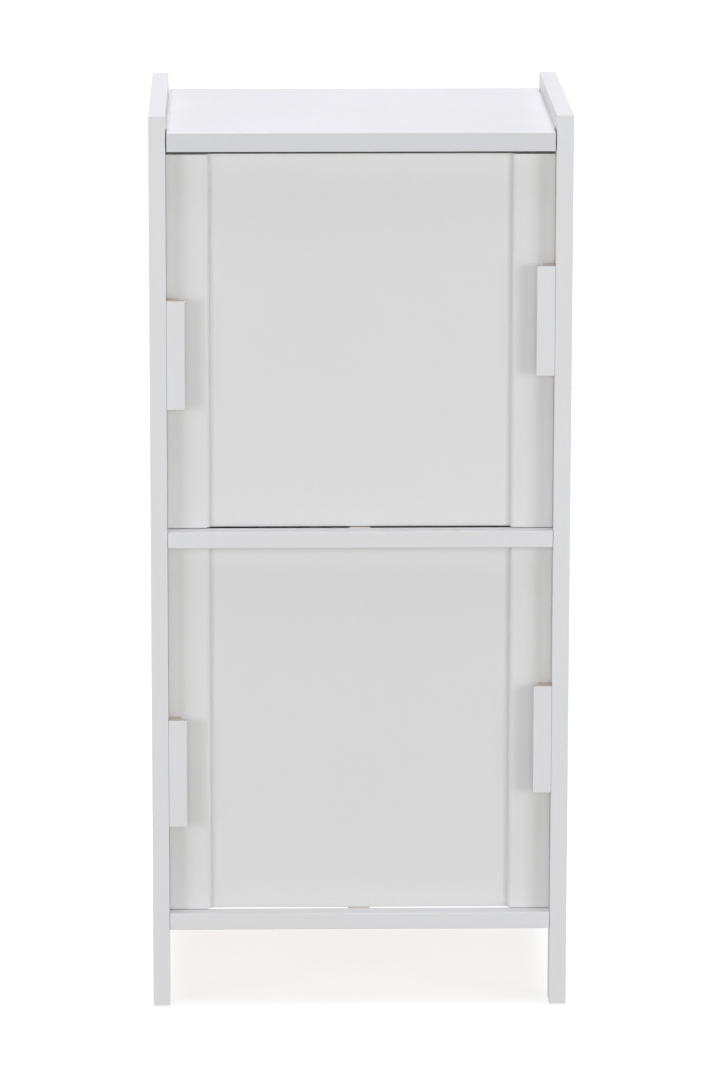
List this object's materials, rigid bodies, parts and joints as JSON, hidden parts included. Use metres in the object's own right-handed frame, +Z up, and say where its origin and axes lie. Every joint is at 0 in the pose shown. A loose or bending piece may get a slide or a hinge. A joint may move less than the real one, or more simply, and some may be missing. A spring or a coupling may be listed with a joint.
{
  "type": "apothecary cabinet",
  "caption": "Narrow white open-bottomed cabinet on four legs with pull-out racks, each with a framed front and staggered finger tabs.",
  "frame": {"origin": "on the floor, under the middle of the cabinet", "axes": "+X to the right as seen from the front, +Y from the front to the back, +Z up"},
  "size_m": [0.4, 0.3, 0.872],
  "materials": {
    "white_lacquer": "satin white lacquer",
    "bare_pine": "planed, unfinished",
    "birch_plywood": "sanded, clear sealed",
    "brown_hardboard": "smooth pressed fibre",
    "zinc_steel": "zinc plated",
    "nylon": "moulded"
  },
  "bodies": {
    "carcass": {"side_panel_left": "white_lacquer", "side_panel_right": "white_lacquer", "top_board": "white_lacquer", "back_panel": "brown_hardboard", "glide_front_left": "nylon", "glide_front_right": "nylon", "glide_back_left": "nylon", "glide_back_right": "nylon", "upper_front_rail": "white_lacquer", "upper_back_rail": "bare_pine", "upper_centre_guide": "bare_pine", "upper_side_runner_left": "bare_pine", "upper_side_runner_right": "bare_pine", "lower_front_rail": "white_lacquer", "lower_back_rail": "bare_pine", "lower_centre_guide": "bare_pine", "lower_side_runner_left": "bare_pine", "lower_side_runner_right": "bare_pine"},
    "upper_pull_out": {"upper_front_panel": "white_lacquer", "upper_rack_floor": "birch_plywood", "upper_rack_shelf": "birch_plywood", "upper_rack_back": "birch_plywood", "upper_stile_left": "white_lacquer", "upper_pull_tab_left": "white_lacquer", "upper_floor_gallery_left": "birch_plywood", "upper_shelf_gallery_left": "birch_plywood", "upper_guide_cleat_left": "bare_pine", "upper_stop_block_left": "bare_pine", "upper_tab_screw_left_low": "zinc_steel", "upper_tab_screw_left_high": "zinc_steel", "upper_stile_right": "white_lacquer", "upper_pull_tab_right": "white_lacquer", "upper_floor_gallery_right": "birch_plywood", "upper_shelf_gallery_right": "birch_plywood", "upper_guide_cleat_right": "bare_pine", "upper_stop_block_right": "bare_pine", "upper_tab_screw_right_low": "zinc_steel", "upper_tab_screw_right_high": "zinc_steel"},
    "lower_pull_out": {"lower_front_panel": "white_lacquer", "lower_rack_floor": "birch_plywood", "lower_rack_shelf": "birch_plywood", "lower_rack_back": "birch_plywood", "lower_stile_left": "white_lacquer", "lower_pull_tab_left": "white_lacquer", "lower_floor_gallery_left": "birch_plywood", "lower_shelf_gallery_left": "birch_plywood", "lower_guide_cleat_left": "bare_pine", "lower_stop_block_left": "bare_pine", "lower_tab_screw_left_low": "zinc_steel", "lower_tab_screw_left_high": "zinc_steel", "lower_stile_right": "white_lacquer", "lower_pull_tab_right": "white_lacquer", "lower_floor_gallery_right": "birch_plywood", "lower_shelf_gallery_right": "birch_plywood", "lower_guide_cleat_right": "bare_pine", "lower_stop_block_right": "bare_pine", "lower_tab_screw_right_low": "zinc_steel", "lower_tab_screw_right_high": "zinc_steel"}
  },
  "joints": [
    {"name": "upper_pull_out_slide", "type": "slide", "parent": "carcass", "child": "upper_pull_out", "axis": [0, -1, 0], "range_m": [0, 0.18]},
    {"name": "lower_pull_out_slide", "type": "slide", "parent": "carcass", "child": "lower_pull_out", "axis": [0, -1, 0], "range_m": [0, 0.18]}
  ]
}
